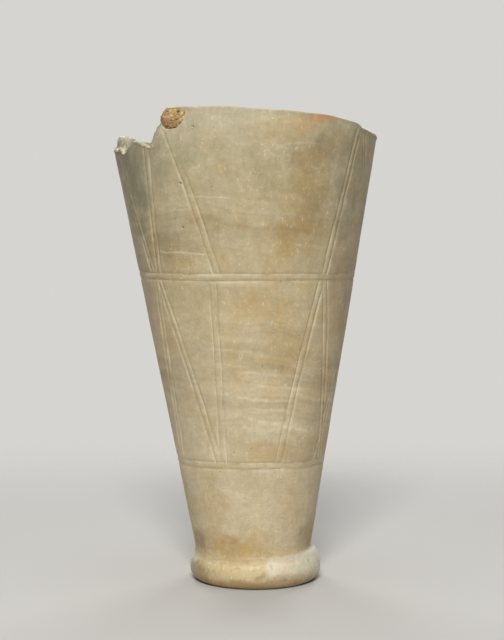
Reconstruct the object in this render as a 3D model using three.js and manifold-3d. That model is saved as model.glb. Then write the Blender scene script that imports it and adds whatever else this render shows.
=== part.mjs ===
// A tall tapering jar on a ring foot, carved from one block of banded stone, with a broken rim.
// Millimetres, +Z up. The origin is the centre of the flat face that the foot rests on.
// The front of the jar faces -Y and its broken side is on the left, towards -X.
import * as THREE from 'three';
import { mergeVertices } from 'three/addons/utils/BufferGeometryUtils.js';
import Module from 'manifold-3d';

const wasm = await Module();
wasm.setup();
const radians = THREE.MathUtils.degToRad;
const { lerp } = THREE.MathUtils;

// Wall
const jarHeight = 310; // from the resting face to the middle of the rim
const rimRadius = 92.5; // outside
const ankleRadius = 39.3; // outside, where the wall meets the foot
const rimWall = 8.5;
const ankleWall = 13;
const floorThickness = 32;
const floorRound = 16; // height of the rounded corner between the floor and the wall
const rimLean = -8; // how far the middle of the rim lies from the foot's centre, along X
const ankleLean = -1.7; // the same for the bottom of the wall
const rimTilt = 2.4; // degrees, the rim drops towards +X
const ankleFlare = 1.2; // how far the wall swells out where it meets the foot
const flareHeight = 4;

// Foot
const footHeight = 20.8;
const footProud = 5.6; // how far the ring stands out of the ankle
const footCurl = 10; // how far the ring's rounded edge reaches in above and below
const footFullness = 2.5; // 2 is a true ellipse, more is squarer
const footTaper = 0.09; // the ring is this share taller on the right and lower on the left

// Carved lines, in pairs
const lineWidth = 2.4;
const lineDepth = 0.6;
const pairSpacing = 4.4; // middle to middle of the two lines of a pair
const upperBandHeight = 209.3; // middle of the pair, at the jar's sides
const upperBandSag = 4.6; // how far that pair dips at the front
const lowerBandHeight = 82.6;

// Broken rim and the crust on its corner
const crustAzimuth = -29.4;
const crustDrop = 5; // middle of the crust below jarHeight
const crustWidth = 17.9;
const crustTall = 14.2;
const crustDepth = 8.6; // three quarters of it sits in the wall
const crustSunk = 2.3; // middle of the crust inside the wall's face
const crustGap = 0.3;
const seatRise = 3; // how far the crust's seat is open upwards, so that no stone overhangs it

// Fineness of the round surfaces
const aroundSteps = 60;
const footSteps = 8;
const floorSteps = 4;
const strokeSteps = 3;
const crustDetail = 3;
const seamReach = 10; // how far cutting shapes run past what they cut

// Azimuths are in degrees from the front, positive to the right.
// A stroke runs from its upper end to its lower end.
const frontUpperStrokes = [
  { top: -78, bottom: -56 },
  { top: -43.5, bottom: -51 },
  { top: -37, bottom: -15 },
  { top: 57, bottom: 43.5 },
];
const frontLowerStrokes = [
  { top: -54, bottom: -63 },
  { top: -52, bottom: -24.5 },
  { top: -17.5, bottom: -20.5 },
  { top: 42, bottom: 21 },
  { top: 44, bottom: 64 },
];
const backFirst = 86; // first meeting point of the strokes behind the jar, on the upper band
const backLast = 260;
const backMeetings = 4;

// Where the crust's outline stands out of an ellipse or falls short of it, by turns from its
// right side, anticlockwise: shares of its half width, and how many degrees each one spreads
const crustCorners = [
  { turn: 35, extra: 0.31, spread: 24 },
  { turn: -132, extra: 0.15, spread: 24 },
  { turn: -40, extra: -0.11, spread: 32 },
];

// The break, from its steep right side round the left of the jar to the back.
// Drops are in mm below jarHeight, at the wall's outer face, its core and its inner face.
const breakLine = [
  { azimuth: -29.6, outer: -12, core: -12, inner: -12 },
  { azimuth: -31.4, outer: 1.4, core: 0.4, inner: -1 },
  { azimuth: -33.4, outer: 4, core: 2.6, inner: 1.2 },
  { azimuth: -35, outer: 7.6, core: 6, inner: 4.5 },
  { azimuth: -37, outer: 9.8, core: 9, inner: 8.6 },
  { azimuth: -38.2, outer: 11.6, core: 11, inner: 11 },
  { azimuth: -40.4, outer: 16.6, core: 16, inner: 16.5 },
  { azimuth: -42.8, outer: 20, core: 19, inner: 19.5 },
  { azimuth: -45.4, outer: 21.3, core: 20, inner: 20.5 },
  { azimuth: -50, outer: 18, core: 17.6, inner: 17.5 },
  { azimuth: -55, outer: 18.6, core: 16, inner: 15.5 },
  { azimuth: -62, outer: 20.8, core: 14.5, inner: 12.5 },
  { azimuth: -67, outer: 21.6, core: 12, inner: 10.2 },
  { azimuth: -72, outer: 18.6, core: 9.6, inner: 8.8 },
  { azimuth: -80, outer: 16.4, core: 7.6, inner: 7.4 },
  { azimuth: -88, outer: 14.6, core: 6, inner: 6.4 },
  { azimuth: -97, outer: 9.5, core: 5.2, inner: 5.6 },
  { azimuth: -108, outer: 6, core: 4.4, inner: 4.6 },
  { azimuth: -122, outer: 3.8, core: 3, inner: 3.2 },
  { azimuth: -138, outer: 2.8, core: 2.2, inner: 2.6 },
  { azimuth: -150, outer: 3.4, core: 2.4, inner: 2 },
  { azimuth: -156, outer: -12, core: -12, inner: -12 },
];

// The jar's outer form

const footRadius = ankleRadius + footProud;
const rise = (z) => (z - footHeight) / (jarHeight - footHeight);
const wallRadius = (z) => lerp(ankleRadius, rimRadius, rise(z));
const wallThickness = (z) => lerp(ankleWall, rimWall, rise(z));
const hollowRadius = (z) => wallRadius(z) - wallThickness(z);
const wallAxisX = (z) => lerp(ankleLean, rimLean, rise(z));
const wallSlope = (rimRadius - ankleRadius) / (jarHeight - footHeight);

function outward(azimuth) {
  return new THREE.Vector3(Math.sin(radians(azimuth)), -Math.cos(radians(azimuth)), 0);
}

function onWall(azimuth, z, proud = 0) {
  const point = outward(azimuth).multiplyScalar(wallRadius(z) + proud);
  return point.add(new THREE.Vector3(wallAxisX(z), 0, z));
}

function wallNormal(azimuth) {
  return outward(azimuth).add(new THREE.Vector3(0, 0, -wallSlope)).normalize();
}

// Meshes to solids and back

function toSolid(geometry) {
  const bare = geometry.clone();
  bare.deleteAttribute('normal');
  bare.deleteAttribute('uv');
  const merged = mergeVertices(bare, 1e-4);
  return new wasm.Manifold(new wasm.Mesh({
    numProp: 3,
    vertProperties: new Float32Array(merged.attributes.position.array),
    triVerts: new Uint32Array(merged.index.array),
  }));
}

function toGeometry(solid) {
  const { vertProperties, triVerts } = solid.getMesh();
  const geometry = new THREE.BufferGeometry();
  geometry.setAttribute('position', new THREE.BufferAttribute(new Float32Array(vertProperties), 3));
  geometry.setIndex(new THREE.BufferAttribute(new Uint32Array(triVerts), 1));
  geometry.computeVertexNormals();
  return geometry;
}

// A solid turned about the upright axis, from a profile of [radius, height] points
function turned(profile) {
  const points = profile.map(([radius, z]) => new THREE.Vector2(radius, z));
  return new THREE.LatheGeometry(points, aroundSteps).rotateX(Math.PI / 2);
}

function moveVertices(geometry, move) {
  const place = geometry.attributes.position;
  const vertex = new THREE.Vector3();
  for (let i = 0; i < place.count; i += 1) {
    vertex.fromBufferAttribute(place, i);
    move(vertex);
    place.setXYZ(i, vertex.x, vertex.y, vertex.z);
  }
  return geometry;
}

// A solid through a row of sections that all have the same number of corners
function lofted(sections) {
  const corners = sections[0].length;
  const positions = sections.flat().flatMap((corner) => corner.toArray());
  const faces = [];
  const last = (sections.length - 1) * corners;
  for (let here = 0; here < last; here += corners) {
    const next = here + corners;
    for (let c = 0; c < corners; c += 1) {
      const d = (c + 1) % corners;
      faces.push(here + c, here + d, next + d, here + c, next + d, next + c);
    }
  }
  for (let c = 1; c < corners - 1; c += 1) {
    faces.push(0, c + 1, c, last, last + c, last + c + 1);
  }
  const geometry = new THREE.BufferGeometry();
  geometry.setAttribute('position', new THREE.Float32BufferAttribute(positions, 3));
  geometry.setIndex(faces);
  return geometry;
}

// The wall and the foot

function footSolid() {
  const profile = [[0, 0]];
  for (let i = 0; i <= footSteps; i += 1) {
    const height = -Math.cos((Math.PI * i) / footSteps);
    const reach = (1 - Math.abs(height) ** footFullness) ** (1 / footFullness);
    profile.push([footRadius - footCurl * (1 - reach), (footHeight * (1 + height)) / 2]);
  }
  profile.push([0, footHeight]);
  const ring = moveVertices(turned(profile), (vertex) => {
    vertex.z *= 1 + (footTaper * vertex.x) / footRadius;
  });
  return toSolid(ring);
}

function leaning(geometry) {
  return moveVertices(geometry, (vertex) => {
    vertex.x += wallAxisX(vertex.z);
  });
}

// The four level lines are cut into the wall's own profile, then the upper pair is sagged
// along the wall, so that it dips at the front.
function wallSolid() {
  const low = footHeight / 2;
  const high = jarHeight + seamReach;
  const flareTop = footHeight + flareHeight;
  const profile = [[0, low], [wallRadius(low) + ankleFlare, low]];
  profile.push([wallRadius(footHeight) + ankleFlare * 0.75, footHeight]);
  profile.push([wallRadius(footHeight + flareHeight / 3) + ankleFlare * 0.3, footHeight + flareHeight / 3]);
  profile.push([wallRadius(flareTop), flareTop]);
  for (const band of [lowerBandHeight, upperBandHeight]) {
    for (const z of [band - pairSpacing / 2, band + pairSpacing / 2]) {
      profile.push([wallRadius(z - lineWidth / 2), z - lineWidth / 2]);
      profile.push([wallRadius(z) - lineDepth, z]);
      profile.push([wallRadius(z + lineWidth / 2), z + lineWidth / 2]);
    }
  }
  profile.push([wallRadius(high), high], [0, high]);
  const bandHalf = pairSpacing / 2 + lineWidth;
  const wall = moveVertices(turned(profile), (vertex) => {
    if (Math.abs(vertex.z - upperBandHeight) < bandHalf) {
      const radius = Math.hypot(vertex.x, vertex.y);
      const dip = (upperBandSag * -vertex.y) / radius;
      const scale = 1 - (dip * wallSlope) / radius;
      vertex.set(vertex.x * scale, vertex.y * scale, vertex.z - dip);
    }
  });
  return toSolid(leaning(wall));
}

function hollowSolid() {
  const profile = [];
  const wide = hollowRadius(floorThickness + floorRound);
  for (let i = 0; i <= floorSteps; i += 1) {
    const turn = (Math.PI / 2) * (i / floorSteps);
    profile.push([wide * Math.sin(turn), floorThickness + floorRound * (1 - Math.cos(turn))]);
  }
  const high = jarHeight + 2 * seamReach;
  profile.push([hollowRadius(high), high], [0, high]);
  return toSolid(leaning(turned(profile)));
}

// All that lies above the tilted plane of the rim, lowered by a drop
function aboveRim(drop = 0) {
  const size = 4 * rimRadius;
  const block = new THREE.BoxGeometry(size, size, size).translate(0, 0, size / 2);
  return toSolid(block.rotateY(radians(rimTilt)).translate(rimLean, 0, jarHeight - drop));
}

function breakSolid() {
  const sections = breakLine.map(({ azimuth, outer, core, inner }) => {
    const outerFace = wallRadius(jarHeight - outer);
    const innerFace = hollowRadius(jarHeight - inner);
    const profile = [
      [innerFace - seamReach, -2 * seamReach],
      [innerFace - seamReach, inner],
      [innerFace, inner],
      [(innerFace + outerFace) / 2, core],
      [outerFace, outer],
      [outerFace + seamReach, outer],
      [outerFace + seamReach, -2 * seamReach],
    ];
    return profile.map(([radius, drop]) => {
      const z = jarHeight - drop;
      return outward(azimuth).multiplyScalar(radius).add(new THREE.Vector3(wallAxisX(z), 0, z));
    });
  });
  return toSolid(lofted(sections));
}

// The carved lines

function lineSolid(path) {
  const overcut = 1;
  const halfWidth = (lineWidth / 2) * (1 + overcut / lineDepth);
  const sections = path.map(({ azimuth, z }, i) => {
    const before = path[Math.max(i - 1, 0)];
    const after = path[Math.min(i + 1, path.length - 1)];
    const along = onWall(after.azimuth, after.z).sub(onWall(before.azimuth, before.z)).normalize();
    const normal = wallNormal(azimuth);
    const across = new THREE.Vector3().crossVectors(normal, along);
    const point = onWall(azimuth, z);
    const edge = point.clone().addScaledVector(normal, overcut);
    return [
      point.clone().addScaledVector(normal, -lineDepth),
      edge.clone().addScaledVector(across, halfWidth),
      edge.clone().addScaledVector(across, -halfWidth),
    ];
  });
  return toSolid(lofted(sections));
}

const upperBandAt = (azimuth) => upperBandHeight - upperBandSag * Math.cos(radians(azimuth));
const rimAt = (azimuth) => jarHeight - Math.sin(radians(azimuth)) * rimRadius * Math.tan(radians(rimTilt));

// A pair of slanting lines between two heights
function strokeLines(stroke, topAt, bottomAt) {
  const topZ = topAt(stroke.top);
  const bottomZ = bottomAt(stroke.bottom);
  return [0.5, -0.5].map((side) => {
    const path = [];
    for (let i = 0; i <= strokeSteps; i += 1) {
      const share = i / strokeSteps;
      const z = lerp(topZ, bottomZ, share);
      const aside = (side * pairSpacing) / wallRadius(z);
      const azimuth = lerp(stroke.top, stroke.bottom, share) + THREE.MathUtils.radToDeg(aside);
      path.push({ azimuth, z });
    }
    return lineSolid(path);
  });
}

// Behind the jar the strokes go on as a zigzag that meets on the upper band
function backStrokes() {
  const step = (backLast - backFirst) / (backMeetings - 1);
  const upper = [];
  const lower = [];
  for (let i = 0; i < backMeetings; i += 1) {
    const meeting = backFirst + i * step;
    upper.push({ top: meeting - step / 2, bottom: meeting }, { top: meeting + step / 2, bottom: meeting });
    lower.push({ top: meeting, bottom: meeting - step / 2 }, { top: meeting, bottom: meeting + step / 2 });
  }
  return { upper, lower };
}

function carvedLines() {
  const back = backStrokes();
  const aboveRimAt = (azimuth) => rimAt(azimuth) + seamReach / 2;
  const overUpperBand = (azimuth) => upperBandAt(azimuth) + pairSpacing / 2;
  const underUpperBand = (azimuth) => upperBandAt(azimuth) - pairSpacing / 2;
  const overLowerBand = () => lowerBandHeight + pairSpacing / 2;
  const upper = [...frontUpperStrokes, ...back.upper];
  const lower = [...frontLowerStrokes, ...back.lower];
  return [
    ...upper.flatMap((stroke) => strokeLines(stroke, aboveRimAt, overUpperBand)),
    ...lower.flatMap((stroke) => strokeLines(stroke, underUpperBand, overLowerBand)),
  ].reduce((all, line) => all.add(line));
}

// The crust, a lumpy deposit bedded in the corner of the break

// How far the outline stands out at a place on the unit ball: x is to the left, y out and z up
function crustCorner(place) {
  const turn = THREE.MathUtils.radToDeg(Math.atan2(place.z, -place.x));
  const inFace = place.x ** 2 + place.z ** 2;
  return crustCorners.reduce((sum, corner) => {
    const away = THREE.MathUtils.euclideanModulo(turn - corner.turn + 180, 360) - 180;
    return sum + inFace * corner.extra * Math.exp(-((away / corner.spread) ** 2));
  }, 0);
}

function crustSolid(growth, rise = 0) {
  const z = jarHeight - crustDrop + rise;
  const middle = onWall(crustAzimuth, z, -crustSunk);
  const out = wallNormal(crustAzimuth);
  const left = new THREE.Vector3().crossVectors(out, new THREE.Vector3(0, 0, 1)).normalize();
  const up = new THREE.Vector3().crossVectors(left, out);
  const lump = moveVertices(new THREE.IcosahedronGeometry(1, crustDetail), (vertex) => {
    const bump = 0.03 * Math.sin(5 * vertex.x + 4 * vertex.z) + 0.03 * Math.sin(9 * vertex.z - 7 * vertex.y);
    const [across, deep, tall] = vertex.multiplyScalar(1 + bump + crustCorner(vertex)).toArray();
    vertex.copy(middle);
    vertex.addScaledVector(left, across * (crustWidth / 2 + growth));
    vertex.addScaledVector(out, deep * (crustDepth / 2 + growth));
    vertex.addScaledVector(up, tall * (crustTall / 2 + growth));
  });
  return toSolid(lump);
}

// The finished pieces

const stone = new THREE.MeshStandardMaterial({ color: 0xc8bb95, roughness: 0.62, metalness: 0 });
const ochreCrust = new THREE.MeshStandardMaterial({ color: 0xb58a4f, roughness: 0.95, metalness: 0 });

const jarBody = footSolid()
  .add(wallSolid())
  .subtract(hollowSolid())
  .subtract(aboveRim())
  .subtract(breakSolid())
  .subtract(carvedLines())
  .subtract(crustSolid(crustGap))
  .subtract(crustSolid(crustGap, seatRise));
const rimCrust = crustSolid(0).subtract(aboveRim());

function piece(name, solid, material) {
  const mesh = new THREE.Mesh(toGeometry(solid), material);
  mesh.name = name;
  return mesh;
}

const jar = new THREE.Group();
jar.add(piece('jar_body', jarBody, stone));
jar.add(piece('rim_crust', rimCrust, ochreCrust));

export default jar;
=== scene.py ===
# A tall tapering stone jar on a ring foot, with carved double lines and a broken rim.
# Lengths are in millimetres and are turned to metres where a mesh, lamp or camera is made.
# Azimuths are in degrees from the jar's front, which faces -Y, positive to the right.
import math

import bmesh
import bpy
import numpy as np
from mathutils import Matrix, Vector, noise


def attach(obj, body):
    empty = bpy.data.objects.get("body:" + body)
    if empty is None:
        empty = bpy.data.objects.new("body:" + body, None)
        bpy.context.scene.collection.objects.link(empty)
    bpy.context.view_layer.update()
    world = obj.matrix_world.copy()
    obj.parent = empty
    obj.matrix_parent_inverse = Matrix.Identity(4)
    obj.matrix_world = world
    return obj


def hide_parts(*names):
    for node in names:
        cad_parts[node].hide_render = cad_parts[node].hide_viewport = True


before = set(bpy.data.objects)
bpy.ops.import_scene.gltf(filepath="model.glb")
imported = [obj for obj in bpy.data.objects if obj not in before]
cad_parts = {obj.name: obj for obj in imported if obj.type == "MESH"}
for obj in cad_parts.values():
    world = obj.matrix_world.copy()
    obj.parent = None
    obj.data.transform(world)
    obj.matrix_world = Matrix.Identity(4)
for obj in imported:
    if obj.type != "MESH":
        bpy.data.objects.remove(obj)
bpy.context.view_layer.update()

MM = 0.001

# The jar's own sizes, as in its solid
JAR_HEIGHT = 310.0
RIM_RADIUS = 92.5
ANKLE_RADIUS = 39.3
RIM_WALL = 8.5
ANKLE_WALL = 13.0
FLOOR_THICKNESS = 32.0
FLOOR_ROUND = 16.0
RIM_LEAN = -8.0
ANKLE_LEAN = -1.7
RIM_TILT = math.radians(2.4)
ANKLE_FLARE = 1.2
FLARE_HEIGHT = 4.0

FOOT_HEIGHT = 20.8
FOOT_RADIUS = ANKLE_RADIUS + 5.6
FOOT_CURL = 10.0
FOOT_FULLNESS = 2.5
FOOT_TAPER = 0.09

LINE_WIDTH = 2.4
LINE_DEPTH = 0.6
CARVED_DEPTH = 0.85 * LINE_DEPTH  # the lines are rubbed, so they are a little shallower than they were cut
PAIR_SPACING = 4.4
BAND_WANDER = 0.35  # how far a level line strays from its course
STROKE_WANDER = 0.3  # and a slanting one
UPPER_BAND_HEIGHT = 209.3
UPPER_BAND_SAG = 4.6
LOWER_BAND_HEIGHT = 82.6
LOWER_BAND_STRENGTH = 0.85
BACK_STRENGTH = 0.9

# Strokes as (azimuth of the upper end, azimuth of the lower end)
FRONT_UPPER_STROKES = [(-78, -56), (-43.5, -51), (-37, -15), (57, 43.5)]
CRUST_STROKE = (-37, 0.5)  # upper azimuth of the stroke under the crust, and the side of its worn line
FRONT_LOWER_STROKES = [(-54, -63), (-52, -24.5), (-17.5, -20.5), (42, 21), (44, 64)]
BACK_FIRST = 86.0  # behind the jar the zigzag goes on between these azimuths
BACK_LAST = 260.0
BACK_MEETINGS = 4
FAR = 99.0  # a distance that is past every line

# The break as (azimuth, drop at the outer face, at the core, at the inner face)
BREAK_LINE = np.array([
    (-29.6, -12, -12, -12), (-31.4, 1.4, 0.4, -1), (-33.4, 4, 2.6, 1.2), (-35, 7.6, 6, 4.5),
    (-37, 9.8, 9, 8.6), (-38.2, 11.6, 11, 11), (-40.4, 16.6, 16, 16.5), (-42.8, 21.6, 20.8, 20.6),
    (-45.4, 20.5, 20.6, 20.8), (-48.8, 18, 18.6, 19), (-50.4, 16.6, 17.4, 18.2),
    (-52.2, 15.8, 16.4, 17.4), (-53.8, 16.4, 15.2, 16.6), (-55.4, 18.2, 14.4, 15.8),
    (-57.6, 18.8, 13.4, 14.6), (-59.4, 19.6, 12.8, 13.8), (-61.4, 21.4, 12.2, 13),
    (-63.8, 21.8, 11.6, 12.4), (-65.4, 20.6, 11.2, 11.8), (-66.8, 17.8, 10.8, 11),
    (-69, 17.2, 10.4, 10.4), (-72, 17, 10, 9), (-80, 15.8, 9, 7.2), (-88, 14.6, 7.8, 6.4),
    (-97, 9.5, 6, 5.6), (-108, 6, 4.4, 4.6), (-122, 2.8, 2.2, 2.4), (-131, 1.9, 1.5, 1.7),
    (-150, 2.4, 1.8, 1.6), (-156, -12, -12, -12),
])[::-1]

# The rim's wear, besides the break. Nicks and scoops are (azimuth, spread, depth).
RIM_EDGE = 1.2
BREAK_EDGE = 0.6
RIM_RUB = 0.45
RIM_NICKS = [(56.4, 1.0, 1.6), (-19.5, 1.8, 0.6), (12.0, 2.5, 0.4)]
STRETCH_RUB = 1.5
STRETCH_BEVEL = 1.2
WEAR_SHARES = (1.0, 0.75, 0.4)  # of the wear at the outer face, at the core and at the inner face

# The crust on the corner of the break. Its outline stands out of an ellipse, or falls short of it, at
# places given as (turn from its right side, anticlockwise; share; how many degrees it spreads).
CRUST_AZIMUTH = -29.4
CRUST_DROP = 5.0
CRUST_WIDTH = 17.9
CRUST_TALL = 14.2
CRUST_DEPTH = 8.6
CRUST_SUNK = 2.3
CRUST_CORNERS = [(35, 0.31, 24), (-132, 0.15, 24), (-40, -0.11, 32)]
CRUST_FLAT = 0.8  # the crust's inner half is flatter than its outer half
BED_DEPTH = 3.0  # of the dent under the crust

# Pits and small dents in the wall and foot, as (azimuth, height, radius, depth)
PITS = [
    (-29, 264.5, 1, 1), (-27.2, 266, 0.7, 0.6), (-30.4, 237, 1, 1), (-20.2, 298.4, 0.7, 0.8),
    (-32, 266.5, 0.6, 0.6), (-25, 263, 0.6, 0.5), (-33, 258, 0.6, 0.5), (18, 286, 0.6, 0.5),
    (26, 262, 0.7, 0.5), (9, 252, 0.6, 0.5), (-9, 238, 0.7, 0.5), (40, 252, 0.7, 0.5),
    (-23.5, 311, 0.9, 0.8), (-35.5, 206, 0.8, 0.6), (8, 148, 0.8, 0.5), (31, 226, 0.8, 0.6),
    (-6, 61, 0.8, 0.5), (17, 118, 0.7, 0.5), (84, 279, 2.4, 0.5), (-12, 92, 0.8, 0.5),
    (1.2, 8, 1.3, 0.6), (3.4, 8.3, 1.5, 0.9), (5.8, 8.5, 1.6, 0.7), (8.4, 9, 1.4, 0.9),
    (10.6, 9.5, 1, 0.6), (-38, 11, 1.8, 0.5), (-62, 14, 2, 0.5), (28, 6.5, 2.4, 0.6),
    (120, 9, 2.4, 0.7), (-68.4, 289.6, 0.8, 1), (-68.2, 287.6, 0.8, 1), (-68, 285.8, 0.7, 0.7),
    (-20, 13.5, 1.1, 0.5), (165, 240, 1.2, 0.9), (-140, 130, 1.1, 0.8), (-118, 250, 1, 0.8),
    (105, 190, 1, 0.8),
]

# Unevenness of the surface as (height, size, seed), where lumps of a size in mm stand out by a height
WALL_SWELLS = [(0.30, 46.0, 1), (0.12, 13.0, 2), (0.04, 5.0, 3)]
FOOT_LUMPS = [(0.45, 11.0, 4), (0.22, 4.5, 5)]
BREAK_LUMPS = [(0.7, 8.0, 6), (0.5, 3.2, 7), (0.1, 1.8, 8), (0.06, 1.0, 16)]
BREAK_EDGE_LUMPS = [(0.3, 3.2, 7), (0.6, 1.8, 8)]
BREAK_SIDE_LUMPS = [[(0.5, 4.0, 9), (0.12, 1.7, 17)], [(0.5, 4.0, 10), (0.12, 1.7, 18)]]

# The same for the crust, in shares of its size
CRUST_LUMPS = [(0.08, 0.6, 11), (0.07, 0.26, 12), (0.05, 0.12, 13)]

# Columns of the jar's mesh as (from, to, how many), closer together round the break
COLUMN_SPANS = [
    (-180, -158, 11), (-158, -146, 12), (-146, -100, 26), (-100, -56, 38), (-56, -28, 40), (-28, 180, 87),
]

# Rows of the jar's mesh: round the underside, up the foot, from the crease up to evenly spaced rows, from
# these up to the rim, over the wall's top, down the hollow and round its floor
UNDERSIDE_RADII = (12.0, 24.0, 32.0)
FOOT_ROWS = 17
ANKLE_ROWS = (0.0, 0.12, 0.26, 0.42, 0.6, 0.8)
EVEN_ROWS_END = 283.0
EVEN_ROWS = np.arange(27.0, EVEN_ROWS_END, 4.0)
RIM_ROWS = 9
TOP_ROWS = 12
HOLLOW_ROWS = 20
FLOOR_ROWS = 8
SOFT_ROWS = (-3, 4)  # the rows about the first row of the wall that are rubbed soft
SOFT_ROUNDS = 3

# Rounds of splitting as (reach from a line or pit, longest edge that is left, widest azimuth)
REFINEMENTS = [(2.9, 1.5, 181.0), (1.55, 0.95, 181.0), (1.05, 0.62, 66.0)]
BREAK_MARGIN = 25.0  # the break is split further round than the wall is

WALL_TILT = math.atan((RIM_RADIUS - ANKLE_RADIUS) / (JAR_HEIGHT - FOOT_HEIGHT))


# The jar's form

def lerp(a, b, share):
    return a + (b - a) * share


def smooth(low, high, value):
    share = np.clip((value - low) / (high - low), 0.0, 1.0)
    return share * share * (3.0 - 2.0 * share)


def stretch(value, start, full, fading, end):
    """1 from full to fading, 0 before the start and after the end, and smooth between them."""
    return smooth(start, full, value) * (1.0 - smooth(fading, end, value))


def hump(value, middle, spread):
    """1 at the middle, falling smoothly to nothing a few spreads away."""
    return np.exp(-((value - middle) / spread) ** 2)


def rise(z):
    """How far up the wall a height is, from 0 at its foot to 1 at its rim."""
    return (z - FOOT_HEIGHT) / (JAR_HEIGHT - FOOT_HEIGHT)


def wall_radius(z):
    return lerp(ANKLE_RADIUS, RIM_RADIUS, rise(z))


def hollow_radius(z):
    return wall_radius(z) - lerp(ANKLE_WALL, RIM_WALL, rise(z))


def wall_axis_x(z):
    return lerp(ANKLE_LEAN, RIM_LEAN, rise(z))


def round_jar(azimuth, radius, z):
    """Points at a radius from the leaning axis of the wall."""
    turn = np.radians(azimuth)
    x = wall_axis_x(z) + radius * np.sin(turn)
    return np.stack([x, -radius * np.cos(turn), z + 0 * turn], axis=-1)


def outward_normals(azimuth):
    turn = np.radians(azimuth)
    flat = math.cos(WALL_TILT)
    return np.stack([np.sin(turn) * flat, -np.cos(turn) * flat, 0 * turn - math.sin(WALL_TILT)], axis=-1)


def azimuth_between(azimuth, other):
    return (azimuth - other + 180.0) % 360.0 - 180.0


def edge_wear(azimuth):
    """Radius of the rim's rounded outer edge, with a wider bevel on the rubbed stretch at the right."""
    return RIM_EDGE + STRETCH_BEVEL * stretch(azimuth, 55.8, 57.2, 82, 96)


def rim_plane(azimuth):
    return JAR_HEIGHT - np.sin(np.radians(azimuth)) * RIM_RADIUS * math.tan(RIM_TILT)


def rim_wear(azimuth):
    """How far the rim is rubbed down: nicks and scoops, the stretch at the right, and slight waves."""
    nicks = sum(deep * hump(azimuth, middle, spread) for middle, spread, deep in RIM_NICKS)
    turn = np.radians(azimuth)
    waves = 0.25 * np.sin(turn * 7.0 + 0.6) + 0.2 * np.sin(turn * 17.0)
    return nicks + STRETCH_RUB * stretch(azimuth, 56, 58, 80, 96) + RIM_RUB + waves


def top_heights(azimuth):
    """Heights of the wall's top at its outer face, core and inner face."""
    intact = rim_plane(azimuth)
    broken = [JAR_HEIGHT - np.interp(azimuth, BREAK_LINE[:, 0], drop) for drop in BREAK_LINE.T[1:]]
    worn = rim_wear(azimuth)
    return [np.minimum(intact - share * worn, z) for z, share in zip(broken, WEAR_SHARES)]


# Meshes

def column_azimuths():
    spans = [np.linspace(low, high, count, endpoint=False) for low, high, count in COLUMN_SPANS]
    return np.concatenate(spans)


def foot_point(azimuth, share):
    """A point of the ring foot's rounded side, from its resting face (share 0) to its top (share 1)."""
    height = -np.cos(np.pi * share)
    reach = (1.0 - np.abs(height) ** FOOT_FULLNESS) ** (1.0 / FOOT_FULLNESS)
    radius = FOOT_RADIUS - FOOT_CURL * (1.0 - reach)
    turn = np.radians(azimuth)
    x = radius * np.sin(turn)
    z = FOOT_HEIGHT * (1.0 + height) / 2.0 * (1.0 + FOOT_TAPER * x / FOOT_RADIUS)
    return np.stack([x, -radius * np.cos(turn), z], axis=-1)


def flared_radius(z):
    """The wall's radius with the small swelling where it meets the foot."""
    return wall_radius(z) + ANKLE_FLARE * (1.0 - smooth(FOOT_HEIGHT - 3.0, FOOT_HEIGHT + FLARE_HEIGHT, z))


def crease(azimuth):
    """Where the wall meets the top of the foot: the share of the foot's side, and the height."""
    low, high = 0.6 + 0 * azimuth, 1.0 + 0 * azimuth
    for _ in range(24):
        shares = (low + high) / 2.0
        point = foot_point(azimuth, shares)
        gap = np.hypot(point[:, 0] - wall_axis_x(point[:, 2]), point[:, 1]) - flared_radius(point[:, 2])
        low = np.where(gap > 0, shares, low)
        high = np.where(gap > 0, high, shares)
    return shares, foot_point(azimuth, shares)[:, 2]


def softened(rings, first_wall, azimuth):
    """Rings with the hollow between wall and foot rubbed soft, less so at the right of the front."""
    share = (1.0 - 0.75 * stretch(azimuth, 2, 22, 110, 140))[:, None]
    for _ in range(SOFT_ROUNDS):
        points = [ring[0] for ring in rings]
        for i in range(first_wall + SOFT_ROWS[0], first_wall + SOFT_ROWS[1]):
            between = (points[i - 1] + 2.0 * points[i] + points[i + 1]) / 4.0
            rings[i] = (lerp(points[i], between, share), *rings[i][1:])
    return rings


def rim_rows(azimuth, heights):
    """Rows over the top of the wall, from its outer face to its inner face, and how far it is broken."""
    outer, core, inner = heights
    broken = smooth(0.4, 1.6, rim_plane(azimuth) - rim_wear(azimuth) - outer)
    rubbed = hump(azimuth, -74.0, 7.0) + 0.2 * hump(azimuth, -50.0, 5.0)
    edge = lerp(edge_wear(azimuth), BREAK_EDGE + 1.5 * rubbed, broken)
    inner_edge = lerp(RIM_EDGE, BREAK_EDGE, broken)
    outer_radius = wall_radius(outer)
    inner_radius = hollow_radius(inner)
    rows = []
    for turn in np.radians([0, 22, 45, 68]):
        radius = outer_radius - edge * (1 - np.cos(turn))
        rows.append((radius, outer - edge * (1 - np.sin(turn))))
    for share in np.linspace(0.0, 1.0, TOP_ROWS):
        radius = lerp(outer_radius - edge, inner_radius + inner_edge, share)
        # Where it is broken, the outer fifth is a ledge and a steep face rises from it
        past_ledge = np.clip((share - 0.2) / 0.6, 0.0, 1.0)
        over = lerp(share, past_ledge * (2.0 - past_ledge), broken)
        z = lerp(outer, inner, over) + 4 * over * (1 - over) * (core - (outer + inner) / 2)
        rows.append((radius, z))
    for turn in np.radians([60, 30, 0]):
        radius = inner_radius + inner_edge * (1 - np.cos(turn))
        rows.append((radius, inner - inner_edge * (1 - np.sin(turn))))
    return rows, broken


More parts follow.
